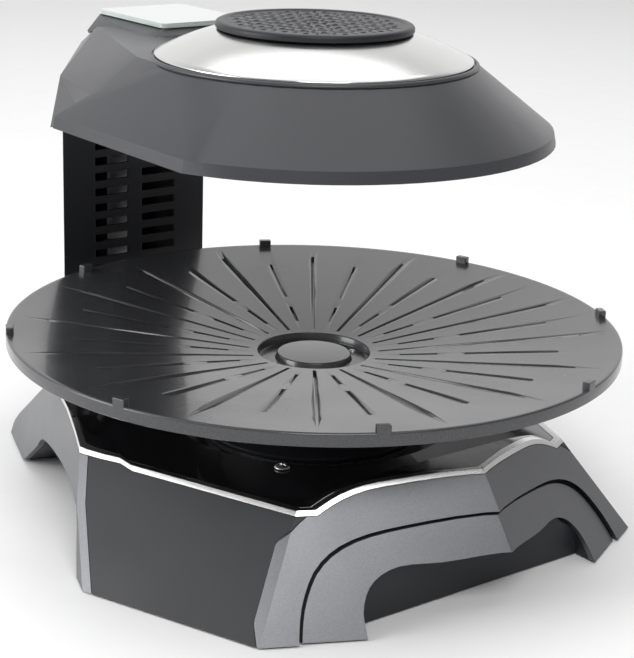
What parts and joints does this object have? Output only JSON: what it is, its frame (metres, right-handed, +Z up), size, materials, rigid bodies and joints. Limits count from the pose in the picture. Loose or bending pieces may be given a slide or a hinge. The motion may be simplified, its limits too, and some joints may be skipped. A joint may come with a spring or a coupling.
{
  "type": "tabletop infrared roaster grill",
  "caption": "Tabletop roaster with a turning round grill plate on a faceted base and a heater head held over it by a rear column.",
  "frame": {"origin": "on the floor, in the middle of the object's bounding box", "axes": "+Z up, +Y towards the column at the back, +X to the right as seen from the front"},
  "size_m": [0.38, 0.452, 0.3065],
  "materials": {
    "black_plastic": "satin black moulding",
    "gloss_black": "piano black",
    "shell_grey": "satin charcoal grey",
    "satin_grey": "satin metallic grey paint",
    "non_stick": "dark non-stick coating on cast aluminium",
    "chrome": "polished",
    "steel": "plain steel",
    "aluminium": "bright reflector",
    "rubber": "black rubber",
    "ceramic": "unglazed",
    "quartz": "clear quartz tube",
    "tinted_glass": "pale printed glass",
    "circuit_board": "green solder mask"
  },
  "bodies": {
    "base": {"base_shell": "black_plastic", "well_tray": "black_plastic", "column_heel": "black_plastic", "deck_cover": "gloss_black", "base_trim": "chrome", "front_wing_outer": "satin_grey", "front_wing_inner": "satin_grey", "left_wing": "satin_grey", "right_wing": "satin_grey", "bottom_cover": "black_plastic", "rubber_foot_1": "rubber", "rubber_foot_2": "rubber", "rubber_foot_3": "rubber", "rubber_foot_4": "rubber", "rubber_foot_5": "rubber", "rubber_foot_6": "rubber", "deck_screw_1": "steel", "deck_screw_2": "steel", "deck_screw_3": "steel", "deck_screw_4": "steel", "inlet_socket": "black_plastic", "glide_ring": "steel", "column_front_cover": "black_plastic", "column_rear_cover": "black_plastic", "column_post": "steel", "head_shell": "shell_grey", "head_underplate": "black_plastic", "chrome_ring": "chrome", "vent_cap": "black_plastic", "reflector_dish": "aluminium", "heater_lamp": "quartz", "lamp_holder_left": "ceramic", "lamp_holder_right": "ceramic", "wire_guard": "steel", "fan_bracket": "steel", "fan_motor": "black_plastic", "control_glass": "tinted_glass", "control_board": "circuit_board"},
    "turntable_body": {"turntable": "black_plastic"},
    "plate_body": {"grill_plate": "non_stick"},
    "cup_body": {"drip_cup": "steel"},
    "fan_body": {"fan_rotor": "black_plastic"}
  },
  "joints": [
    {"name": "turntable_spin", "type": "hinge", "parent": "base", "child": "turntable_body", "pos_m": [0, -0.036, 0.058], "axis": [0, 0, 1], "continuous": true},
    {"name": "plate_lift", "type": "slide", "parent": "turntable_body", "child": "plate_body", "axis": [0, 0, 1], "range_m": [0, 0.06]},
    {"name": "cup_lift", "type": "slide", "parent": "base", "child": "cup_body", "axis": [0, 0, 1], "range_m": [0, 0.012]},
    {"name": "fan_spin", "type": "hinge", "parent": "base", "child": "fan_body", "pos_m": [0, -0.0267, 0.293], "axis": [0, 0, 1], "continuous": true}
  ]
}
